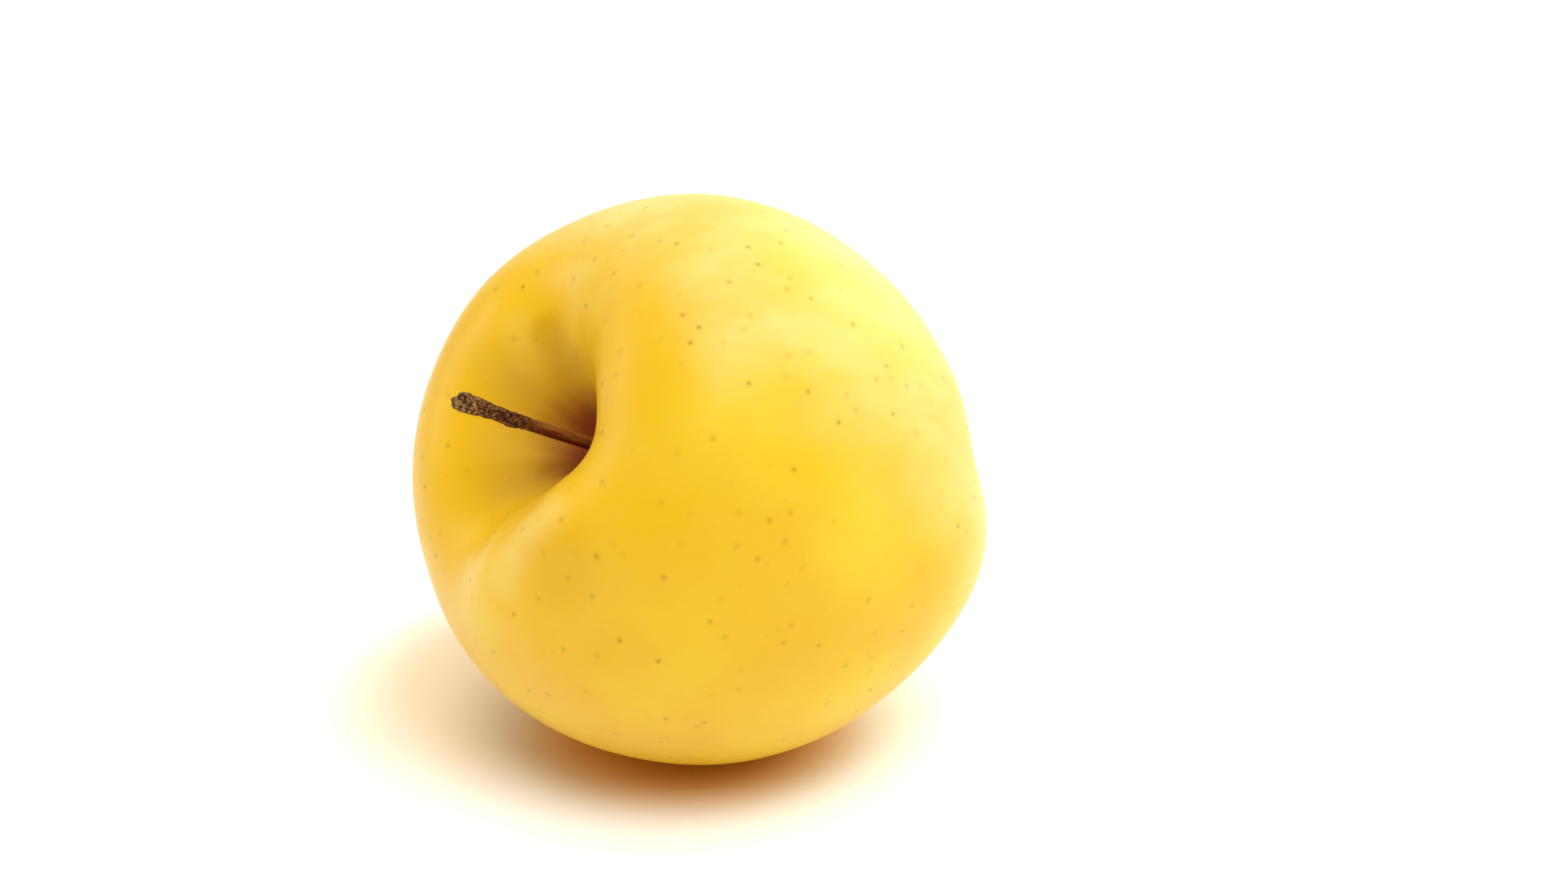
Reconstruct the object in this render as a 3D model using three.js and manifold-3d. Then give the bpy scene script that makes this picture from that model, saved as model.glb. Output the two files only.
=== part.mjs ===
// A yellow dessert apple as picked, lying on its flank.
//
// Millimetres, +Z up. The surface it lies on is z = 0, and the origin is the middle of the small
// flat spot it rests on. The stem points to -X and upward.
//
// Every sub-part is shaped upright first. There the origin is the middle of the round body, +Z runs
// along the core towards the stem, "polar" is the angle from the stem end (0) to the eye (PI), and
// "around" is the angle about the core, from the flank that ends up on top towards +Y.

import * as THREE from 'three';
import { mergeVertices } from 'three/addons/utils/BufferGeometryUtils.js';
import Module from 'manifold-3d';

const wasm = await Module();
wasm.setup();

const rad = THREE.MathUtils.degToRad;
const smoothstep = THREE.MathUtils.smoothstep;

// The round body.
const BODY_RADIUS = 38;
const BODY_HALF_HEIGHT = 36.4;
const BODY_TAPER = 0.025;         // how much wider the stem end is than the eye end
const BODY_SKEW = 0.07;           // the shoulders stand higher on one side by this slope
const BODY_SKEW_AROUND = -118;    // the low side of that slope, in degrees

// The hollow around the stem, and the basin around the eye.
const CAVITY_DEPTH = 24;
const CAVITY_RADIUS = 13;
const CAVITY_ROUNDING = 1.3;
const BASIN_DEPTH = 9;
const BASIN_RADIUS = 8;
const BASIN_ROUNDING = 1.8;

// The fruit has five carpels, so five shoulders stand round the stem cavity and five knobs round the
// eye, a fifth of a turn apart. Each list starts at its turn, in degrees, and goes on towards +Y.
// A shoulder rises by so many millimetres and narrows the cavity by a share of its radius.
const CARPELS = 5;
const SHOULDER_TURN = -125;
const SHOULDER_RISES = [3, 1.5, 0, 1.5, 1.5];
const SHOULDER_REACHES = [0.25, 0.1, -0.2, 0, -0.15];
const SHOULDER_TIGHTNESS = 5;
const CROWN_TURN = -84;
const CROWN_RISES = [3, 0.5, 1, 1, 1];
const CROWN_TIGHTNESS = 6;

// Three ridges run down the far wall of the cavity and narrow it too.
const RIDGE_TURN = 50;
const RIDGE_REACHES = [0.2, 0.1, 0.25];
const RIDGE_TIGHTNESS = 12;

// Where the skin is pinched in: above the nearest knob of the crown, and behind the tallest shoulder.
const PINCHES = [
  { polar: 124, around: -60, depth: 1, spread: 9 },
  { polar: 37, around: -126, depth: 1.5, spread: 8 },
];

// How the apple lies: the stem's lean from upright, and the middle of the round body.
const STEM_LEAN = 63.7;
const BODY_MIDDLE = new THREE.Vector3(-0.5, 1.6, 37.8);

// The stem, from its foot in the cavity to its ragged end.
const STEM_FOOT_HEIGHT = 14;
const STEM_TIP_HEIGHT = 38;
const STEM_FOOT_OFFSET = 0.45;
const STEM_TIP_OFFSET = 0.9;
const STEM_BOW = -0.1;
const STEM_RADIUS = 0.8;
const STEM_FOOT_FLARE = 0.35;
const STEM_BARK_SWELL = 0.05;
const STEM_TIP_FLARE = 0.35;
const STEM_KNOT_RISE = 0.28;
const STEM_KNOT_PLACE = 0.68;     // share of the length from the foot
const STEM_HOLLOW = 0.6;

// The dried flower parts in the eye.
const SEPAL_COUNT = 5;
const SEPAL_TURN = 24;
const SEPAL_HALF_WIDTH = 1.25;
const SEPAL_HALF_THICKNESS = 0.28;
// A sepal's middle line: distance from the core, and height from the eye's floor.
const SEPAL_LINE = [[2.5, -1.8], [2.1, -3.6], [2.7, -5.4], [4.3, -5.4]];
const EYE_FLOOR = BASIN_DEPTH - BODY_HALF_HEIGHT;
const STAMEN_COUNT = 9;
const STAMEN_RADIUS = 0.2;
const PISTIL_RADIUS = 0.75;

// How finely the skin is divided.
const SKIN_SLICES = 64;
const SKIN_RINGS = 42;

// A sum of amounts, one to a carpel, each full on its own meridian and fading on both sides of it.
function lobes(around, turn, tightness, amounts) {
  let total = 0;
  amounts.forEach((amount, number) => {
    const centre = rad(turn + (360 / CARPELS) * number);
    total += amount * Math.exp(tightness * (Math.cos(around - centre) - 1));
  });
  return total;
}

// How deep one pinch is here, in millimetres.
function pinchDepth(pinch, polar, around) {
  const bearing = Math.cos(around - rad(pinch.around));
  const nearness = Math.cos(polar) * Math.cos(rad(pinch.polar))
    + Math.sin(polar) * Math.sin(rad(pinch.polar)) * bearing;
  return pinch.depth * Math.exp((nearness - 1) / (1 - Math.cos(rad(pinch.spread))));
}

// How far the skin stands out from the plain round body, in millimetres.
function unevenness(polar, around) {
  const shoulderBand = smoothstep(polar, 0.05, 0.4) * (1 - smoothstep(polar, 0.55, 1.6));
  const crownBand = smoothstep(polar, 1.5, 2.5) * (1 - smoothstep(polar, 2.7, Math.PI));
  let out = shoulderBand * lobes(around, SHOULDER_TURN, SHOULDER_TIGHTNESS, SHOULDER_RISES)
    + crownBand * lobes(around, CROWN_TURN, CROWN_TIGHTNESS, CROWN_RISES);
  PINCHES.forEach((pinch) => {
    out -= pinchDepth(pinch, polar, around);
  });
  return out;
}

// The stem cavity's radius on one meridian.
function cavityRadius(around) {
  const narrowing = lobes(around, SHOULDER_TURN, SHOULDER_TIGHTNESS, SHOULDER_REACHES)
    + lobes(around, RIDGE_TURN, RIDGE_TIGHTNESS, RIDGE_REACHES);
  return CAVITY_RADIUS * (1 - narrowing);
}

// One point of the skin, upright.
function skinPoint(polar, around) {
  const outward = Math.sin(polar);
  const upward = Math.cos(polar);
  let radius = BODY_RADIUS * outward * (1 + BODY_TAPER * upward);
  let height = BODY_HALF_HEIGHT * upward;
  const cavity = Math.exp(-((radius / cavityRadius(around)) ** CAVITY_ROUNDING));
  const basin = Math.exp(-((radius / BASIN_RADIUS) ** BASIN_ROUNDING));
  height -= CAVITY_DEPTH * cavity * smoothstep(upward, 0, 0.5);
  height += BASIN_DEPTH * basin * smoothstep(-upward, 0, 0.5);
  const out = unevenness(polar, around);
  radius += out * outward;
  height += out * upward;
  height -= BODY_SKEW * radius * Math.cos(around - rad(BODY_SKEW_AROUND));
  return new THREE.Vector3(radius * Math.cos(around), radius * Math.sin(around), height);
}

// Polar angles of the rings, spaced evenly along the skin of one meridian.
function ringPolars(rings) {
  const samples = 720;
  const lengths = [0];
  for (let i = 1; i <= samples; i++) {
    const here = skinPoint((Math.PI * i) / samples, 0);
    const before = skinPoint((Math.PI * (i - 1)) / samples, 0);
    lengths.push(lengths[i - 1] + here.distanceTo(before));
  }
  const polars = [];
  let i = 0;
  for (let ring = 0; ring <= rings; ring++) {
    const wanted = (lengths[samples] * ring) / rings;
    while (i < samples && lengths[i] < wanted) {
      i++;
    }
    polars.push((Math.PI * i) / samples);
  }
  polars[rings] = Math.PI;
  return polars;
}

// Keeps only positions, and joins the vertices that share a place.
function weld(geometry) {
  geometry.deleteAttribute('normal');
  geometry.deleteAttribute('uv');
  return mergeVertices(geometry);
}

function toSolid(geometry) {
  const welded = weld(geometry);
  return new wasm.Manifold(new wasm.Mesh({
    numProp: 3,
    vertProperties: new Float32Array(welded.attributes.position.array),
    triVerts: new Uint32Array(welded.index.array),
  }));
}

function toGeometry(solid) {
  const mesh = solid.getMesh();
  const geometry = new THREE.BufferGeometry();
  geometry.setAttribute('position', new THREE.BufferAttribute(mesh.vertProperties, 3));
  geometry.setIndex(new THREE.BufferAttribute(mesh.triVerts, 1));
  return geometry;
}

// The whole fruit as a ball drawn out to its skin, upright.
function fruitBall() {
  const ball = weld(new THREE.SphereGeometry(1, SKIN_SLICES, SKIN_RINGS));
  const polars = ringPolars(SKIN_RINGS);
  const place = ball.attributes.position;
  for (let i = 0; i < place.count; i++) {
    const fromTop = Math.acos(THREE.MathUtils.clamp(place.getY(i), -1, 1));
    const ring = Math.round((fromTop / Math.PI) * SKIN_RINGS);
    const around = Math.atan2(place.getX(i), place.getZ(i));
    const point = skinPoint(polars[ring], around);
    place.setXYZ(i, point.x, point.y, point.z);
  }
  return ball;
}

// Turns an upright sub-part to the way the apple lies.
function layDown(object) {
  object.rotation.y = -rad(STEM_LEAN);
  object.position.copy(BODY_MIDDLE);
  object.updateMatrix();
}

// The fruit as it lies, pressed flat where it meets the surface.
function fruitGeometry() {
  const pose = new THREE.Object3D();
  layDown(pose);
  const lying = fruitBall().applyMatrix4(pose.matrix);
  const side = 4 * BODY_RADIUS;
  const ground = new THREE.BoxGeometry(side, side, side).translate(0, 0, -side / 2);
  return toGeometry(toSolid(lying).subtract(toSolid(ground)));
}

// A closed piece that follows a curve. "section" gives its half width across and its half thickness
// at a share of the length and an angle round the piece; "across" is the direction of the width.
function drawAlong(curve, across, section, sides, steps) {
  const piece = weld(new THREE.CylinderGeometry(1, 1, 1, sides, steps));
  const place = piece.attributes.position;
  for (let i = 0; i < place.count; i++) {
    const share = THREE.MathUtils.clamp(place.getY(i) + 0.5, 0, 1);
    const angle = Math.atan2(place.getZ(i), place.getX(i));
    const fromMiddle = Math.hypot(place.getX(i), place.getZ(i));
    const centre = curve.getPoint(share);
    const tangent = curve.getTangent(share);
    const width = across.clone().addScaledVector(tangent, -across.dot(tangent)).normalize();
    const depth = new THREE.Vector3().crossVectors(width, tangent);
    const half = section(share, angle);
    centre.addScaledVector(width, half.width * fromMiddle * Math.cos(angle));
    centre.addScaledVector(depth, half.thickness * fromMiddle * Math.sin(angle));
    place.setXYZ(i, centre.x, centre.y, centre.z);
  }
  return piece;
}

// The middle line of the stem, nearly straight.
class StemLine extends THREE.Curve {
  getPoint(share, target = new THREE.Vector3()) {
    const slope = STEM_TIP_OFFSET - STEM_FOOT_OFFSET;
    const x = STEM_FOOT_OFFSET + slope * share + STEM_BOW * Math.sin(Math.PI * share);
    return target.set(x, 0, STEM_FOOT_HEIGHT + (STEM_TIP_HEIGHT - STEM_FOOT_HEIGHT) * share);
  }
}

// Flared at the foot, knotted on its lower side, and widest at its broken end.
function stemRadius(share, angle) {
  const knot = Math.exp(-(((share - STEM_KNOT_PLACE) / 0.04) ** 2)) * Math.max(0, -Math.cos(angle));
  const rib = 0.04 * Math.cos(3 * angle + 4 * share);
  return STEM_RADIUS + rib
    + STEM_FOOT_FLARE * Math.exp(-share / 0.08)
    + STEM_BARK_SWELL * smoothstep(share, 0.45, 0.7)
    + STEM_TIP_FLARE * smoothstep(share, 0.76, 0.97)
    + STEM_KNOT_RISE * knot;
}

// The woody stem, with a shallow hollow in its broken end.
function stemGeometry() {
  const section = (share, angle) => {
    const radius = stemRadius(share, angle);
    return { width: radius, thickness: radius };
  };
  const stem = drawAlong(new StemLine(), new THREE.Vector3(1, 0, 0), section, 14, 30);
  const place = stem.attributes.position;
  for (let i = 0; i < place.count; i++) {
    const offMiddle = Math.hypot(place.getX(i) - STEM_TIP_OFFSET, place.getY(i));
    if (place.getZ(i) > STEM_TIP_HEIGHT - 0.1 && offMiddle < STEM_RADIUS / 2) {
      place.setZ(i, place.getZ(i) - STEM_HOLLOW);
    }
  }
  return stem;
}

// One dried sepal: it stands round the middle of the eye, then curls back to its pointed tip.
function sepalGeometry() {
  const [foot, rise, curl, tip] = SEPAL_LINE.map(([radius, height]) => (
    new THREE.Vector3(radius, 0, EYE_FLOOR + height)
  ));
  const curve = new THREE.CubicBezierCurve3(foot, rise, curl, tip);
  const section = (share) => ({
    width: SEPAL_HALF_WIDTH * (1 - 0.85 * share ** 1.5),
    thickness: SEPAL_HALF_THICKNESS * (1 - 0.5 * share),
  });
  return drawAlong(curve, new THREE.Vector3(0, 1, 0), section, 8, 8);
}

// One dried stamen, leaning out a little from the pistil.
function stamenGeometry(turn) {
  const reach = 1.45 + 0.25 * Math.sin(5 * turn);
  const length = 3 + 0.5 * Math.cos(3 * turn);
  const at = (radius, height) => (
    new THREE.Vector3(radius * Math.cos(turn), radius * Math.sin(turn), height)
  );
  const curve = new THREE.QuadraticBezierCurve3(
    at(0.6, EYE_FLOOR - 1),
    at(0.9, EYE_FLOOR - 2.2),
    at(reach, EYE_FLOOR - length - 0.5),
  );
  const section = () => ({ width: STAMEN_RADIUS, thickness: STAMEN_RADIUS });
  return drawAlong(curve, new THREE.Vector3(-Math.sin(turn), Math.cos(turn), 0), section, 6, 5);
}

// The pistil's stump with the dried stamens round it, grown together.
function stamenTuftGeometry() {
  const stump = new THREE.CylinderGeometry(0.5 * PISTIL_RADIUS, PISTIL_RADIUS, 1.6, 12);
  stump.rotateX(-Math.PI / 2).translate(0, 0, EYE_FLOOR - 1.2);
  let tuft = toSolid(stump);
  for (let i = 0; i < STAMEN_COUNT; i++) {
    tuft = tuft.add(toSolid(stamenGeometry((2 * Math.PI * i) / STAMEN_COUNT)));
  }
  return toGeometry(tuft);
}

function material(color, roughness) {
  return new THREE.MeshStandardMaterial({ color, roughness, metalness: 0 });
}

function named(name, geometry, finish) {
  const mesh = new THREE.Mesh(geometry, finish);
  mesh.name = name;
  return mesh;
}

const apple = new THREE.Group();
apple.add(named('fruit', fruitGeometry(), material(0xf6c534, 0.4)));

const grown = new THREE.Group();
layDown(grown);
grown.add(named('stem', stemGeometry(), material(0x6b3d14, 0.85)));
for (let i = 0; i < SEPAL_COUNT; i++) {
  const sepal = named(`sepal_${i + 1}`, sepalGeometry(), material(0x5c4526, 0.9));
  sepal.rotation.z = rad(SEPAL_TURN + (360 / SEPAL_COUNT) * i);
  grown.add(sepal);
}
grown.add(named('stamen_tuft', stamenTuftGeometry(), material(0x3d2a18, 0.95)));
apple.add(grown);

export default apple;
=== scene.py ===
import math

import bpy
import numpy as np
from mathutils import Matrix, Vector, noise


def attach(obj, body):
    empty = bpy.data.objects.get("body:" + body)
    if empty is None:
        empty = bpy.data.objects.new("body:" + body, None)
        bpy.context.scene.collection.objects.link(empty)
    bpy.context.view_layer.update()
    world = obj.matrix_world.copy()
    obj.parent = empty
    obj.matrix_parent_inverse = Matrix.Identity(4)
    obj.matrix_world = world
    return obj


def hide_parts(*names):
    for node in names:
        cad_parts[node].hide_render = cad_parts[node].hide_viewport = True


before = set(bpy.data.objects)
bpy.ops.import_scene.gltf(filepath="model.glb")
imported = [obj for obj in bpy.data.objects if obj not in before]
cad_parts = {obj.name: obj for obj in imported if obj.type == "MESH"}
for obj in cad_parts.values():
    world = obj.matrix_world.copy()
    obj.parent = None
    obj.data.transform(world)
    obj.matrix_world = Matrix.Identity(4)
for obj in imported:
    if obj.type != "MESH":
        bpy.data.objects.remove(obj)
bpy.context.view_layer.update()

# A yellow dessert apple as picked, lying on its flank, with its stem, its dried sepals and stamens.
#
# Every piece is shaped upright, in millimetres: the origin is the middle of the round body, +Z runs
# along the core towards the stem, "polar" is the angle from the stem end (0) to the eye (pi), and
# "around" is the angle about the core, from the flank that ends up on top towards +Y. Its points
# are then laid down as the apple lies, and a material finds its way back to the upright shape.

MM = 0.001

# The round body.
BODY_RADIUS = 38
BODY_HALF_HEIGHT = 36.4
BODY_TAPER = 0.025          # how much wider the stem end is than the eye end
BODY_SKEW = 0.07            # the shoulders stand higher on one side by this slope
BODY_SKEW_AROUND = -118     # the low side of that slope, in degrees

# The hollow around the stem, and the basin around the eye.
CAVITY_DEPTH = 24
CAVITY_RADIUS = 13
CAVITY_ROUNDING = 1.3
BASIN_DEPTH = 9
BASIN_RADIUS = 8
BASIN_ROUNDING = 1.8
EYE_FLOOR = BASIN_DEPTH - BODY_HALF_HEIGHT

# The fruit has five carpels, so five shoulders stand round the stem cavity and five knobs round the
# eye, a fifth of a turn apart. Each list starts at its turn, in degrees, and goes on towards +Y.
# A shoulder rises by so many millimetres and narrows the cavity by a share of its radius.
CARPELS = 5
SHOULDER_TURN = -125
SHOULDER_RISES = [3, 1.5, 0, 1.5, 1.5]
SHOULDER_REACHES = [0.25, 0.1, -0.2, 0, -0.15]
SHOULDER_TIGHTNESS = 5
CROWN_TURN = -84
CROWN_RISES = [3, 0.5, 1, 1, 1]
CROWN_TIGHTNESS = 6

# Three ridges run down the far wall of the cavity and narrow it too.
RIDGE_TURN = 50
RIDGE_REACHES = [0.2, 0.1, 0.25]
RIDGE_TIGHTNESS = 12

# Where the skin is pinched in: above the nearest knob of the crown, and behind the tallest shoulder.
PINCHES = [
    {"polar": 124, "around": -60, "depth": 1, "spread": 9},
    {"polar": 37, "around": -126, "depth": 1.5, "spread": 8},
]

# Places, upright, where light and shade are painted into the skin's colour to follow its forms: a
# painted highlight along the crest of the tallest shoulder, painted shade in the pinch behind it, and
# a painted highlight on a ridge beside painted shade in a valley in the far wall of the cavity.
SHOULDER_CREST_HIGHLIGHT = [(-8, -14, 31), (-12, -12, 31), (-16, -10, 31)]
SHOULDER_DIMPLE_SHADE = (-13, -18, 30)
WALL_RIDGE_HIGHLIGHT = [(11, 10, 28), (8, 8, 26)]
WALL_VALLEY_SHADE = [(12, 6, 26), (9, 4, 24), (6, 4, 22)]

# How the apple lies: the stem's lean from upright, and the middle of the round body.
STEM_LEAN = 63.7
BODY_MIDDLE = (-0.5, 1.6, 37.8)
LYING_TURN = np.array(Matrix.Rotation(-math.radians(STEM_LEAN), 3, "Y"))

# Fine unevenness of a grown skin: how wide its soft waves are, and how high.
SKIN_WAVES = [(11, 0.10), (4.5, 0.025)]
SKIN_RINGS = 250
SKIN_SLICES = 340

# The stem, from its foot in the cavity to its ragged end.
STEM_FOOT_HEIGHT = 14
STEM_TIP_HEIGHT = 38
STEM_FOOT_OFFSET = 0.45
STEM_TIP_OFFSET = 0.9
STEM_BOW = -0.1
STEM_RADIUS = 0.8
STEM_FOOT_FLARE = 0.35
STEM_BARK_SWELL = 0.05
STEM_TIP_FLARE = 0.35
STEM_KNOT_RISE = 0.28
STEM_KNOT_PLACE = 0.68      # share of the length from the foot
STEM_SUNK = 0.04            # share of the length that is sunk in the flesh
STEM_HOLLOW = 0.9           # how deep the broken end is hollow
STEM_SPLINTER = 0.7         # how far one splinter of it stands out, and where
STEM_SPLINTER_AROUND = math.radians(125)

# The dried flower parts in the eye. Their lines are given as distance from the core and height
# above the eye's floor.
SEPAL_TURN = 24
SEPAL_HALF_WIDTH = 1.25
SEPAL_LINE = [(2.5, -1.8), (2.1, -3.6), (2.7, -5.4), (4.3, -5.4)]
STAMEN_COUNT = 9
PISTIL_RADIUS = 0.75

# Where the camera stands, as seen from the middle of the fruit, and where it aims.
VIEW_AZIMUTH = -35.7
VIEW_ELEVATION = 20
VIEW_DISTANCE = 0.205
AIM_AZIMUTH = -39.4
AIM_ELEVATION = 18.6
LENS_MM = 34.4

# The middles of the apple's painted amber shadow on the table and of the painted cream shadow at its
# side, in millimetres.
SHADOW_MIDDLE = (0, 3, 0)
SIDE_SHADOW_MIDDLE = (-8, 28, 0)
TABLE_HALF_WIDTH = 4        # in metres
TABLE_TOP = -0.02           # just under the apple, in millimetres

# The soft lamps: azimuth and elevation as seen from the apple, distance and size in metres, watts.
LAMPS = {
    "overhead_panel": (0, 80, 1.0, 1.0, 5),
    "right_panel": (60, 15, 1.0, 1.0, 3.5),
    "window": (108, 25, 1.0, 0.7, 1.5),
    "back_left_panel": (-138, 20, 1.0, 0.5, 1.5),
    "front_softbox": (-30, 58, 1.0, 0.45, 3),
}

# The skin's colours.
GOLD = "F3C20C"
LEMON = "F7D41C"
BLOOM_AND_SHEEN = "F8E284"
DIMPLE_SHADE_GOLD = "E2B008"
VALLEY_SHADE_OLIVE = "B07C0A"
CAVITY_OLIVE = "C99A12"
RUSSET_AND_SHADE = "923C06"
DOT_RING = "CDA422"
DOT = "8C6A0A"

# The stem's colours.
SHADED_BARK_BELOW = "5A1604"
LIT_BARK_ABOVE = "9A6420"
CORK_DARK = "34120A"
CORK_LIGHT = "8A5A2C"
BARE_WOOD = "C09A62"
PIT_SHADE = "2A1408"

# The colours of the table and the room.
AMBER_SHADOW = "F4B44A"
CREAM_SIDE_SHADOW = "DCCCB2"
TABLE_WHITE = "F8F7F5"
ROOM_WARM = "FFE6B4"
ROOM_WHITE = "FFFAF0"
ROOM_BRIGHT_SIDE = (120, 15)    # azimuth and elevation


def smoothstep(x, low, high):
    """0 below the low value, 1 above the high one, with soft ends."""
    t = np.clip((x - low) / (high - low), 0, 1)
    return t * t * (3 - 2 * t)


def lobes(around, turn, tightness, amounts):
    """Amounts set a fifth of a turn apart, each full on its own meridian and gone before the next but
    one. The first stands at the turn, in degrees."""
    total = 0
    for number, amount in enumerate(amounts):
        centre = math.radians(turn + 360 / CARPELS * number)
        total = total + amount * np.exp(tightness * (np.cos(around - centre) - 1))
    return total


def unevenness(polar, around):
    """How far the skin stands out from the plain round body, in millimetres."""
    shoulder_band = smoothstep(polar, 0.05, 0.4) * (1 - smoothstep(polar, 0.55, 1.6))
    crown_band = smoothstep(polar, 1.5, 2.5) * (1 - smoothstep(polar, 2.7, math.pi))
    out = shoulder_band * lobes(around, SHOULDER_TURN, SHOULDER_TIGHTNESS, SHOULDER_RISES)
    out = out + crown_band * lobes(around, CROWN_TURN, CROWN_TIGHTNESS, CROWN_RISES)
    for pinch in PINCHES:
        middle = math.radians(pinch["polar"])
        bearing = np.cos(around - math.radians(pinch["around"]))
        nearness = np.cos(polar) * math.cos(middle) + np.sin(polar) * math.sin(middle) * bearing
        width = 1 - math.cos(math.radians(pinch["spread"]))
        out = out - pinch["depth"] * np.exp((nearness - 1) / width)
    return out


def skin_points(polar, around):
    """Points of the skin, upright. Takes arrays of angles of one shape."""
    outward = np.sin(polar)
    upward = np.cos(polar)
    narrowing = lobes(around, SHOULDER_TURN, SHOULDER_TIGHTNESS, SHOULDER_REACHES)
    narrowing = narrowing + lobes(around, RIDGE_TURN, RIDGE_TIGHTNESS, RIDGE_REACHES)
    cavity_radius = CAVITY_RADIUS * (1 - narrowing)
    radius = BODY_RADIUS * outward * (1 + BODY_TAPER * upward)
    height = BODY_HALF_HEIGHT * upward
    cavity = np.exp(-((radius / cavity_radius) ** CAVITY_ROUNDING))
    basin = np.exp(-((radius / BASIN_RADIUS) ** BASIN_ROUNDING))
    height = height - CAVITY_DEPTH * cavity * smoothstep(upward, 0, 0.5)
    height = height + BASIN_DEPTH * basin * smoothstep(-upward, 0, 0.5)
    out = unevenness(polar, around)
    radius = radius + out * outward
    height = height + out * upward
    height = height - BODY_SKEW * radius * np.cos(around - math.radians(BODY_SKEW_AROUND))
    return np.stack([radius * np.cos(around), radius * np.sin(around), height], -1)


def even_rings(rings):
    """Polar angles of the rings, spaced evenly along the skin of one meridian."""
    fine = np.linspace(0, math.pi, 4000)
    line = skin_points(fine, np.zeros_like(fine))
    steps = np.linalg.norm(np.diff(line, axis=0), axis=1)
    length = np.concatenate([[0], np.cumsum(steps)])
    return np.interp(np.linspace(0, length[-1], rings + 1), length, fine)


def lay_down(points):
    """Upright points, taken to the way the apple lies. All in millimetres."""
    return np.asarray(points) @ LYING_TURN.T + np.array(BODY_MIDDLE)


def stand_up(points):
    """Points of the lying apple, taken back upright."""
    return (points - np.array(BODY_MIDDLE)) @ LYING_TURN


def make_piece(name, points, faces, finish):
    """A smooth-shaded object that lies as the apple does. Points are upright, in millimetres."""
    mesh = bpy.data.meshes.new(name)
    mesh.from_pydata((lay_down(points) * MM).tolist(), [], faces)
    mesh.shade_smooth()
    mesh.materials.append(finish)
    mesh.update()
    piece = bpy.data.objects.new(name, mesh)
    bpy.context.collection.objects.link(piece)
    return piece


def place_piece(name, node, points, faces, finish):
    """Stands a finished piece in for its plain one."""
    piece = make_piece(name, points, faces, finish)
    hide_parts(node)
    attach(piece, "root")


def tube_faces(rings, slices):
    """Quads between rings of points, each ring running round the tube."""
    faces = []
    for ring in range(rings - 1):
        for k in range(slices):
            a = ring * slices + k
            b = ring * slices + (k + 1) % slices
            faces.append((a, b, b + slices, a + slices))
    return faces


def cap_faces(ring_start, slices, tip, flip):
    """Triangles from a ring to one point."""
    faces = []
    for k in range(slices):
        a = ring_start + k
        b = ring_start + (k + 1) % slices
        faces.append((tip, b, a) if flip else (tip, a, b))
    return faces


def linear(hex_colour):
    """An sRGB hex colour as linear RGBA."""
    channels = []
    for i in (0, 2, 4):
        c = int(hex_colour[i:i + 2], 16) / 255
        channels.append(c / 12.92 if c <= 0.04045 else ((c + 0.055) / 1.055) ** 2.4)
    return (*channels, 1)


def add(tree, kind, links, **settings):
    """Adds a node. "links" gives each input a value, or the socket that feeds it."""
    node = tree.nodes.new(kind)
    for name, value in settings.items():
        setattr(node, name, value)
    for socket, source in links.items():
        if isinstance(source, bpy.types.NodeSocket):
            tree.links.new(source, node.inputs[socket])
        else:
            node.inputs[socket].default_value = source
    return node


def blend(tree, share, under, over):
    """One colour laid over another by a share. A colour is a hex value or a socket."""
    under, over = (linear(c) if isinstance(c, str) else c for c in (under, over))
    return add(tree, "ShaderNodeMix", {0: share, 6: under, 7: over}, data_type="RGBA").outputs[2]


def fade(tree, value, start, stop, low=0, high=1, kind="SMOOTHSTEP"):
    """Runs from the low result at the start value to the high one at the stop value."""
    links = {0: value, 1: start, 2: stop, 3: low, 4: high}
    return add(tree, "ShaderNodeMapRange", links, interpolation_type=kind).outputs[0]


def maths(tree, operation, *values):
    """One step of arithmetic on numbers or sockets."""
    return add(tree, "ShaderNodeMath", dict(enumerate(values)), operation=operation).outputs[0]


def vector_maths(tree, operation, *values):
    """One step of arithmetic on places. Gives the whole node, for its place or its number."""
    return add(tree, "ShaderNodeVectorMath", dict(enumerate(values)), operation=operation)


def speckles(tree, place, size, detail, roughness=0.5):
    """Soft random speckles of a size in millimetres."""
    return add(tree, "ShaderNodeTexNoise", {
        "Vector": place, "Scale": 1 / size, "Detail": detail, "Roughness": roughness,
    }).outputs[0]


def new_finish(name):
    """An empty material, and its nodes."""
    finish = bpy.data.materials.new(name)
    finish.use_nodes = True
    finish.node_tree.nodes.clear()
    return finish, finish.node_tree


def table_millimetres(tree):
    """The place on the table, in millimetres."""
    coordinates = add(tree, "ShaderNodeTexCoord", {}).outputs["Object"]
    scaled = add(tree, "ShaderNodeVectorMath", {0: coordinates, "Scale": 1 / MM}, operation="SCALE")
    return scaled.outputs[0]


def upright_millimetres(tree):
    """The place on the apple as if it stood upright, in millimetres: markings run with the core."""
    coordinates = add(tree, "ShaderNodeTexCoord", {}).outputs["Object"]
    lean = math.radians(STEM_LEAN)
    back = add(tree, "ShaderNodeMapping", {
        "Vector": coordinates,
        "Location": -(Matrix.Rotation(lean, 3, "Y") @ Vector(BODY_MIDDLE)),
        "Rotation": (0, lean, 0),
        "Scale": (1 / MM, 1 / MM, 1 / MM),
    })
    return back.outputs[0]


def patches(tree, place, skin, middles, reach, share, colour):
    """Soft patches of colour, each full at its middle and gone at a reach from it, in millimetres."""
    for middle in middles:
        off = vector_maths(tree, "DISTANCE", place, middle).outputs["Value"]
        skin = blend(tree, fade(tree, off, reach, reach / 4, 0, share), skin, colour)
    return skin


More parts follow.
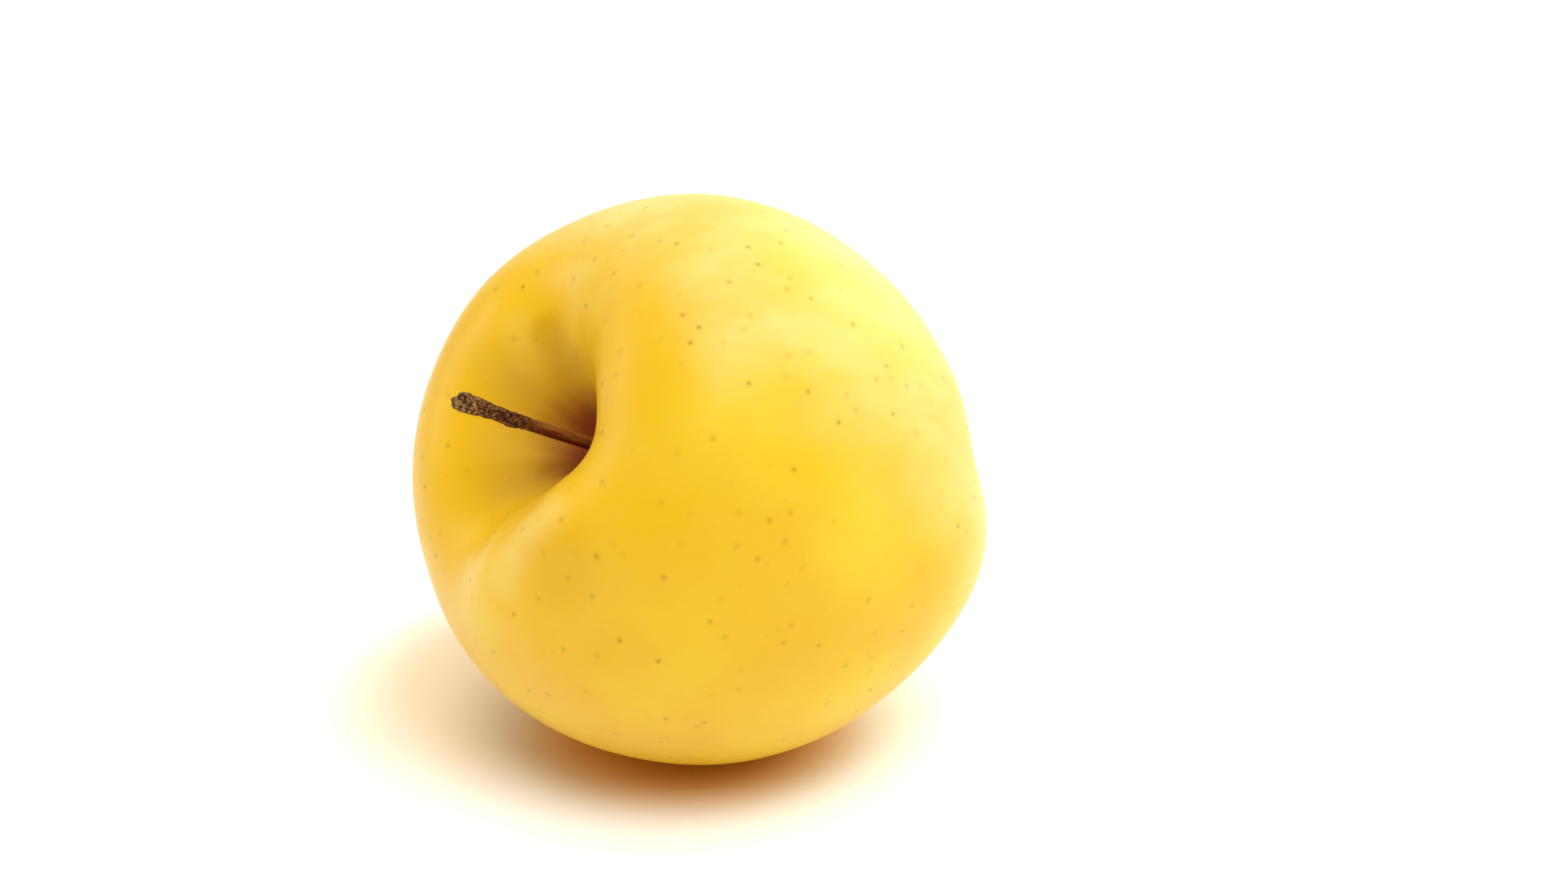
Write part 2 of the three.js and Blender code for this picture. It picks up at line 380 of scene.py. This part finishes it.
def waxy_apple_skin():
    """Apple skin with its own wax: satin, clear gold with soft lemon clouds and a pale bloom that is
    partly painted sheen, painted highlight and shade along its forms, fine olive-brown dots where it
    breathes, and smooth red-brown russet, darkened as painted shade, where the stem grows out."""
    finish, tree = new_finish("waxy_apple_skin")
    place = upright_millimetres(tree)
    above = add(tree, "ShaderNodeSeparateXYZ", {0: place}).outputs["Z"]
    flat = vector_maths(tree, "MULTIPLY", place, (1, 1, 0)).outputs[0]
    off_core = vector_maths(tree, "LENGTH", flat).outputs["Value"]

    # Ripe gold, in clouds a finger wide, paler towards the eye.
    clouds = speckles(tree, place, 22, 2)
    paler = maths(tree, "MULTIPLY_ADD", above, -0.006, clouds)
    skin = blend(tree, fade(tree, paler, 0.28, 0.66), GOLD, LEMON)

    # The flank that lies on top, and the side towards the eye, are under a pale bloom, thickest where
    # the most light falls: partly the wax's own bloom and partly a painted sheen. The bloom is drawn
    # out from stem to eye, and thins out in the cavity.
    sheen_side = vector_maths(tree, "DOT_PRODUCT", place, (1, 0, -0.4)).outputs["Value"]
    sheen_side = maths(tree, "MULTIPLY_ADD", clouds, 16, sheen_side)
    thickness = maths(tree, "MULTIPLY", fade(tree, sheen_side, 11, 25, 0.08, 0.85),
                      fade(tree, off_core, 12, 22, 0.1, 1))
    drawn_out = vector_maths(tree, "MULTIPLY", place, (1, 1, 0.45)).outputs[0]
    bloom = speckles(tree, drawn_out, 9, 3, 0.55)
    bloom_and_sheen_share = maths(tree, "MULTIPLY", thickness, fade(tree, bloom, 0.3, 0.7, 0.35, 1))
    skin = blend(tree, bloom_and_sheen_share, skin, BLOOM_AND_SHEEN)

    # A painted highlight lies along the crest of the tallest shoulder, painted shade makes the pinch
    # behind it deep gold, and the far wall of the cavity has a painted highlight on a ridge beside
    # olive painted shade in a valley.
    skin = patches(tree, place, skin, SHOULDER_CREST_HIGHLIGHT, 5, 0.3, BLOOM_AND_SHEEN)
    skin = patches(tree, place, skin, [SHOULDER_DIMPLE_SHADE], 8, 0.4, DIMPLE_SHADE_GOLD)
    skin = patches(tree, place, skin, WALL_RIDGE_HIGHLIGHT, 4, 0.15, BLOOM_AND_SHEEN)
    skin = patches(tree, place, skin, WALL_VALLEY_SHADE, 4, 0.35, VALLEY_SHADE_OLIVE)

    # Dots: points 3 mm apart through the flesh, of which those near the skin show, so that they
    # come out about 6 mm apart and up to 0.5 mm wide, no two alike, each in a faint olive ring.
    dots = add(tree, "ShaderNodeTexVoronoi", {"Vector": place, "Scale": 1 / 3, "Randomness": 1})
    off_dot = dots.outputs["Distance"]
    darkness = fade(tree, dots.outputs["Color"], 0.3, 0.7, 0.1, 0.5, "LINEAR")
    skin = blend(tree, fade(tree, off_dot, 0.24, 0.10, 0, 0.25), skin, DOT_RING)
    skin = blend(tree, fade(tree, off_dot, 0.12, 0.04, 0, darkness), skin, DOT)

    # Olive down the cavity wall, then russet round the stem's foot and in the eye, both licking
    # outwards. The russet is the skin's own, made darker as painted shade of the deep hollows.
    spoke = vector_maths(tree, "NORMALIZE", flat).outputs[0]
    spoke = add(tree, "ShaderNodeVectorMath", {0: spoke, "Scale": 24}, operation="SCALE").outputs[0]
    spoke = vector_maths(tree, "ADD", spoke, place).outputs[0]
    tongues = speckles(tree, spoke, 11, 2, 0.4)
    reach = maths(tree, "MULTIPLY_ADD", tongues, 4, off_core)
    stem_end = maths(tree, "GREATER_THAN", above, 0)
    olive_share = maths(tree, "MULTIPLY", fade(tree, reach, 19, 7, 0, 0.7), stem_end)
    skin = blend(tree, olive_share, skin, CAVITY_OLIVE)
    skin = blend(tree, fade(tree, reach, 10.5, 5, 0, 0.95), skin, RUSSET_AND_SHADE)

    # The wax is uneven, and the skin of the cavity is dull.
    shine = fade(tree, bloom, 0.3, 0.7, 0.32, 0.42, "LINEAR")
    shine = add(tree, "ShaderNodeMix", {0: olive_share, 2: shine, 3: 0.8}).outputs[0]
    grain = speckles(tree, place, 0.7, 3, 0.6)
    bump = add(tree, "ShaderNodeBump", {"Height": grain, "Distance": 0.02 * MM, "Strength": 0.5})
    shader = add(tree, "ShaderNodeBsdfPrincipled", {
        "Base Color": skin,
        "Roughness": shine,
        "IOR": 1.45,
        "Specular IOR Level": 0.35,
        "Subsurface Weight": 0.15,
        "Subsurface Radius": (1.0, 0.45, 0.1),
        "Subsurface Scale": 2.5 * MM,
        "Normal": bump.outputs[0],
    })
    add(tree, "ShaderNodeOutputMaterial", {"Surface": shader.outputs[0]})
    return finish


def dry_stem_bark():
    """Dry woody bark: smooth near the foot, ochre above and red-brown below, its own colours laid out
    as painted light on top and painted shade underneath; dark and corky further out, with pits
    darkened by painted shade; and bare tan wood round the broken end."""
    finish, tree = new_finish("dry_stem_bark")
    place = upright_millimetres(tree)
    parts = add(tree, "ShaderNodeSeparateXYZ", {0: place})
    above = parts.outputs["Z"]
    speckle = speckles(tree, place, 0.6, 4, 0.6)
    along = vector_maths(tree, "MULTIPLY", place, (1, 1, 0.12)).outputs[0]
    streak = speckles(tree, along, 0.5, 4)

    # Ochre on the side that lies on top, red-brown below: the bark's own colours, with painted light on
    # top and painted shade underneath.
    lit_upper_side = maths(tree, "MULTIPLY_ADD", streak, 2.4, parts.outputs["X"])
    young = blend(tree, fade(tree, lit_upper_side, 1.3, 2.5, kind="LINEAR"), SHADED_BARK_BELOW, LIT_BARK_ABOVE)
    old = blend(tree, fade(tree, speckle, 0.42, 0.66, kind="LINEAR"), CORK_DARK, CORK_LIGHT)
    ragged = maths(tree, "MULTIPLY_ADD", speckle, 7, above)
    bark = blend(tree, fade(tree, ragged, 28, 33), young, old)

    end = fade(tree, above, 26, 37.5, -0.15, 0.16, "LINEAR")
    bare = maths(tree, "ADD", speckles(tree, place, 0.35, 3), end)
    bark = blend(tree, fade(tree, bare, 0.62, 0.76, 0, 0.85, "LINEAR"), bark, BARE_WOOD)

    # Painted shade: pits and cracks, where the surface is hollow, are darkened.
    pit = add(tree, "ShaderNodeNewGeometry", {}).outputs["Pointiness"]
    bark = blend(tree, fade(tree, pit, 0.49, 0.43, 0, 0.85, "LINEAR"), bark, PIT_SHADE)
    bump = add(tree, "ShaderNodeBump", {"Height": speckle, "Distance": 0.12 * MM, "Strength": 0.7})
    shader = add(tree, "ShaderNodeBsdfPrincipled", {
        "Base Color": bark,
        "Roughness": 0.8,
        "Specular IOR Level": 0.25,
        "Normal": bump.outputs[0],
    })
    add(tree, "ShaderNodeOutputMaterial", {"Surface": shader.outputs[0]})
    return finish


def dry_leaf(name, dark, light, fineness):
    """A dried flower leaf or thread: dull brown, with lighter down along it."""
    finish, tree = new_finish(name)
    down = speckles(tree, upright_millimetres(tree), fineness, 4)
    colour = blend(tree, down, dark, light)
    bump = add(tree, "ShaderNodeBump", {"Height": down, "Distance": 0.1 * MM})
    shader = add(tree, "ShaderNodeBsdfPrincipled", {
        "Base Color": colour,
        "Roughness": 0.9,
        "Normal": bump.outputs[0],
    })
    add(tree, "ShaderNodeOutputMaterial", {"Surface": shader.outputs[0]})
    return finish


def grow_fruit():
    """The fruit: a fine net of rings over the skin, gently waved, and pressed flat underneath."""
    polars = even_rings(SKIN_RINGS)[1:-1]
    arounds = np.linspace(0, 2 * math.pi, SKIN_SLICES, endpoint=False)
    polar, around = np.meshgrid(polars, arounds, indexing="ij")
    points = skin_points(polar, around).reshape(-1, 3)
    ends = skin_points(np.array([0.0, math.pi]), np.zeros(2))
    points = np.concatenate([points, ends])
    away = points / np.linalg.norm(points, axis=1)[:, None]
    for width, height in SKIN_WAVES:
        wave = np.array([noise.noise(Vector(p) / width) for p in points])
        points = points + away * (height * wave)[:, None]
    rings = len(polars)
    last = (rings - 1) * SKIN_SLICES
    faces = tube_faces(rings, SKIN_SLICES)
    faces = [face[::-1] for face in faces]
    faces += cap_faces(0, SKIN_SLICES, rings * SKIN_SLICES, flip=False)
    faces += cap_faces(last, SKIN_SLICES, rings * SKIN_SLICES + 1, flip=True)
    place_piece("apple_fruit", "fruit", press_flat(points), faces, waxy_apple_skin())


def press_flat(points):
    """Lifts whatever would sink below the resting surface onto it."""
    lying = lay_down(points)
    lying[:, 2] = np.maximum(lying[:, 2], 0)
    return stand_up(lying)


def stem_line(share):
    """The middle of the stem at a share of its length."""
    bow = STEM_BOW * math.sin(math.pi * share)
    x = STEM_FOOT_OFFSET + (STEM_TIP_OFFSET - STEM_FOOT_OFFSET) * share + bow
    return Vector((x, 0, STEM_FOOT_HEIGHT + (STEM_TIP_HEIGHT - STEM_FOOT_HEIGHT) * share))


def stem_radius(share, angle):
    """Flared at the foot, knotted on its lower side, and widest at its ragged end."""
    knot = math.exp(-((share - STEM_KNOT_PLACE) / 0.04) ** 2) * max(0, -math.cos(angle))
    foot = math.exp(-max(share, 0) / 0.08)
    bark = float(smoothstep(share, 0.45, 0.7))
    tip = float(smoothstep(share, 0.76, 0.97))
    radius = STEM_RADIUS + STEM_FOOT_FLARE * foot + STEM_BARK_SWELL * bark + STEM_TIP_FLARE * tip
    return radius + STEM_KNOT_RISE * knot + 0.04 * math.cos(3 * angle + 4 * share)


def bark_point(share, angle):
    """A point of the stem's surface: finely ribbed near the foot, crusted and pitted further out."""
    outward = Vector((math.cos(angle), math.sin(angle), 0))
    middle = stem_line(share)
    at = middle + outward
    rough = float(smoothstep(share, 0.48, 0.66))
    rib = noise.noise(Vector((at.x * 2.2, at.y * 2.2, at.z * 0.4)))
    crust = noise.fractal(at * 1.5, 0.7, 2.2, 4)
    pit = max(0, noise.noise(at * 2.3) - 0.15)
    radius = stem_radius(share, angle) + 0.08 * rib + rough * (0.15 * crust - 0.55 * pit)
    ragged = 0.5 * noise.noise(outward * 1.4) + 0.2 * noise.noise(outward * 4)
    off_splinter = math.remainder(angle - STEM_SPLINTER_AROUND, 2 * math.pi)
    ragged += STEM_SPLINTER * math.exp(-(off_splinter / 0.7) ** 4)
    ragged *= float(smoothstep(share, 0.95, 1))
    return middle + outward * radius + Vector((0, 0, ragged))


def grow_stem():
    """The woody stem, with the hollow of its broken end."""
    rings = 400
    slices = 84
    end_rings = 18
    angles = [2 * math.pi * k / slices for k in range(slices)]
    points = [
        bark_point(-STEM_SUNK + (1 + STEM_SUNK) * ring / (rings - 1), angle)
        for ring in range(rings) for angle in angles
    ]
    rim = points[-slices:]
    floor_middle = stem_line(1)
    for ring in range(1, end_rings):
        inward = ring / end_rings
        drop = -STEM_HOLLOW * float(smoothstep(inward, 0.15, 0.6))
        for start in rim:
            at = start.lerp(floor_middle, inward)
            crumb = noise.fractal(at * 3, 0.8, 2, 3)
            points.append(at + Vector((0, 0, drop + 0.16 * crumb)))
    points.append(floor_middle - Vector((0, 0, STEM_HOLLOW)))
    points.append(stem_line(-STEM_SUNK))
    total = rings + end_rings - 1
    faces = tube_faces(total, slices)
    faces += cap_faces((total - 1) * slices, slices, total * slices, flip=False)
    faces += cap_faces(0, slices, total * slices + 1, flip=True)
    place_piece("apple_stem", "stem", points, faces, dry_stem_bark())


def bend(line, share):
    """A point on a curve drawn by its control points, each a pair of numbers."""
    while len(line) > 1:
        line = [
            (a + (c - a) * share, b + (d - b) * share)
            for (a, b), (c, d) in zip(line, line[1:])
        ]
    return line[0]


def strip(line, half_width, half_thickness, shape, rings, slices):
    """Points and faces of a closed strip along a curve in the plane of the core. "shape" says how
    far it is cupped, at a share of its length and a share across it."""
    points = []
    for ring in range(rings):
        share = ring / (rings - 1)
        radius, height = bend(line, share)
        before = bend(line, share - 0.01)
        after = bend(line, share + 0.01)
        tangent = Vector((after[0] - before[0], 0, after[1] - before[1])).normalized()
        depth = Vector((0, 1, 0)).cross(tangent)
        for k in range(slices):
            angle = 2 * math.pi * k / slices
            across = math.cos(angle)
            away = half_thickness(share) * math.sin(angle) + shape(share, across)
            point = Vector((radius, half_width(share) * across, EYE_FLOOR + height)) + depth * away
            points.append(point)
    points.append(Vector((bend(line, 1)[0], 0, EYE_FLOOR + bend(line, 1)[1])))
    points.append(Vector((bend(line, 0)[0], 0, EYE_FLOOR + bend(line, 0)[1])))
    faces = tube_faces(rings, slices)
    faces += cap_faces((rings - 1) * slices, slices, rings * slices, flip=False)
    faces += cap_faces(0, slices, rings * slices + 1, flip=True)
    return points, faces


def grow_sepal(number, finish):
    """One dried sepal: cupped, crinkled and curled back to its point."""
    turn = Matrix.Rotation(math.radians(SEPAL_TURN + 360 / CARPELS * (number - 1)), 4, "Z")

    def width(share):
        waver = 1 + 0.08 * math.sin(17 * share + number)
        return SEPAL_HALF_WIDTH * (1 - 0.9 * share ** 1.6) * waver

    def thickness(share):
        return 0.2 * (1 - 0.5 * share)

    def shape(share, across):
        crinkle = noise.noise(Vector((across * 2, share * 5, number * 3.7)))
        rib = 0.08 * math.exp(-(across / 0.15) ** 2)
        return 0.35 * (across ** 2 - 0.5) * (1 - share) + 0.16 * crinkle - rib

    points, faces = strip(SEPAL_LINE, width, thickness, shape, rings=70, slices=40)
    points = [turn @ point for point in points]
    place_piece(f"apple_sepal_{number}", f"sepal_{number}", points, faces, finish)


def grow_stamen_tuft():
    """The pistil's stump and the withered stamens round it, each with its shrivelled head."""
    points = []
    faces = []

    def gather(more_points, more_faces):
        first = len(points)
        points.extend(more_points)
        faces.extend(tuple(first + corner for corner in face) for face in more_faces)

    def stump_radius(share):
        return PISTIL_RADIUS * (1 - 0.5 * share)

    def stump_shape(share, across):
        return 0.06 * math.sin(9 * across + 5 * share)

    def thread(share):
        return 0.1 + 0.13 * math.exp(-((share - 0.93) / 0.07) ** 2) * (1 - share ** 12)

    def thread_shape(share, across):
        return 0

    stump_line = [(0, -0.4), (0, -2)]
    gather(*strip(stump_line, stump_radius, stump_radius, stump_shape, rings=16, slices=30))
    for i in range(STAMEN_COUNT):
        around = 2 * math.pi * i / STAMEN_COUNT
        reach = 1.45 + 0.25 * math.sin(5 * around)
        length = 3 + 0.5 * math.cos(3 * around)
        line = [(0.6, -1), (0.9, -2.2), (reach, -length - 0.5)]
        turn = Matrix.Rotation(around, 4, "Z")
        more_points, more_faces = strip(line, thread, thread, thread_shape, rings=40, slices=12)
        gather([turn @ point for point in more_points], more_faces)
    place_piece("apple_stamens", "stamen_tuft", points, faces,
                dry_leaf("dried_stamen", "1E120A", "5A4026", 0.4))


def studio_floor():
    """A wide white table top, with an amber shadow painted close round the fruit for the light that
    comes through it, and a cream shadow painted at its side. To the eye, and in gloss and glass, it
    brightens to plain white away from the apple's shadow and in the distance."""
    finish, tree = new_finish("white_table_top")
    place = table_millimetres(tree)
    off_apple = vector_maths(tree, "DISTANCE", place, SHADOW_MIDDLE).outputs["Value"]
    off_side_shadow = vector_maths(tree, "DISTANCE", place, SIDE_SHADOW_MIDDLE).outputs["Value"]
    # Painted shadow: amber close round the fruit, cream at its side.
    pale = blend(tree, fade(tree, off_side_shadow, 20, 44), CREAM_SIDE_SHADOW, TABLE_WHITE)
    tone = blend(tree, fade(tree, off_apple, 13, 28), AMBER_SHADOW, pale)
    matt = add(tree, "ShaderNodeBsdfDiffuse", {"Color": tone, "Roughness": 0.5})
    away = maths(tree, "ADD", fade(tree, off_apple, 15, 40, 0, 0.4),
                 fade(tree, off_apple, 400, 1600, 0, 0.7, "LINEAR"))
    path = add(tree, "ShaderNodeLightPath", {}).outputs
    seen = maths(tree, "ADD", path["Is Camera Ray"], path["Is Glossy Ray"])
    seen = maths(tree, "ADD", seen, path["Is Transmission Ray"])
    strength = maths(tree, "MULTIPLY", away, seen)
    white = add(tree, "ShaderNodeEmission", {"Color": tone, "Strength": strength})
    both = add(tree, "ShaderNodeAddShader", {0: matt.outputs[0], 1: white.outputs[0]})
    add(tree, "ShaderNodeOutputMaterial", {"Surface": both.outputs[0]})
    half = TABLE_HALF_WIDTH
    corners = [(-half, -half), (half, -half), (half, half), (-half, half)]
    mesh = bpy.data.meshes.new("table_top")
    mesh.from_pydata([(x, y, TABLE_TOP * MM) for x, y in corners], [], [(0, 1, 2, 3)])
    mesh.materials.append(finish)
    floor = bpy.data.objects.new("table_top", mesh)
    bpy.context.collection.objects.link(floor)


def soft_light(name, azimuth, elevation, distance, size, power):
    """A square soft lamp that faces the apple. Its place is given as seen from the apple."""
    lamp = bpy.data.lights.new(name, "AREA")
    lamp.size = size
    lamp.energy = power
    light = bpy.data.objects.new(name, lamp)
    bpy.context.collection.objects.link(light)
    middle = Vector(BODY_MIDDLE) * MM
    towards = direction(azimuth, elevation)
    light.location = middle + distance * towards
    light.rotation_euler = towards.to_track_quat("Z", "Y").to_euler()


def direction(azimuth, elevation):
    """Unit direction from the apple to a place: azimuth 0 is -Y, in front, and 90 is +X."""
    a = math.radians(azimuth)
    e = math.radians(elevation)
    return Vector((math.sin(a) * math.cos(e), -math.cos(a) * math.cos(e), math.sin(e)))


def studio_light():
    """The soft lamps, in a warm room that is bright behind the apple, to the right, and dimmer and
    yellower in front of it."""
    world = bpy.data.worlds.new("white_room")
    world.use_nodes = True
    tree = world.node_tree
    tree.nodes.clear()
    looking = add(tree, "ShaderNodeTexCoord", {}).outputs["Generated"]
    behind = vector_maths(tree, "DOT_PRODUCT", looking, direction(*ROOM_BRIGHT_SIDE)).outputs["Value"]
    strength = fade(tree, behind, 0.1, 0.9, 0.34, 1)
    tone = blend(tree, strength, ROOM_WARM, ROOM_WHITE)
    background = add(tree, "ShaderNodeBackground", {"Color": tone, "Strength": strength})
    add(tree, "ShaderNodeOutputWorld", {"Surface": background.outputs[0]})
    bpy.context.scene.world = world
    for name, placing in LAMPS.items():
        soft_light(name, *placing)


def place_camera():
    """The camera, close to the fruit and a little above it."""
    data = bpy.data.cameras.new("camera")
    data.lens = LENS_MM
    data.sensor_width = 36
    data.clip_start = 0.01
    camera = bpy.data.objects.new("camera", data)
    bpy.context.collection.objects.link(camera)
    camera.location = Vector(BODY_MIDDLE) * MM + VIEW_DISTANCE * direction(VIEW_AZIMUTH, VIEW_ELEVATION)
    camera.rotation_euler = direction(AIM_AZIMUTH, AIM_ELEVATION).to_track_quat("Z", "Y").to_euler()
    bpy.context.scene.camera = camera


place_camera()
studio_floor()
studio_light()
grow_fruit()
grow_stem()
sepal_finish = dry_leaf("dried_sepal", "3A2614", "8A6B3C", 0.8)
for number in range(1, CARPELS + 1):
    grow_sepal(number, sepal_finish)
grow_stamen_tuft()

bpy.context.scene.view_settings.view_transform = "Standard"
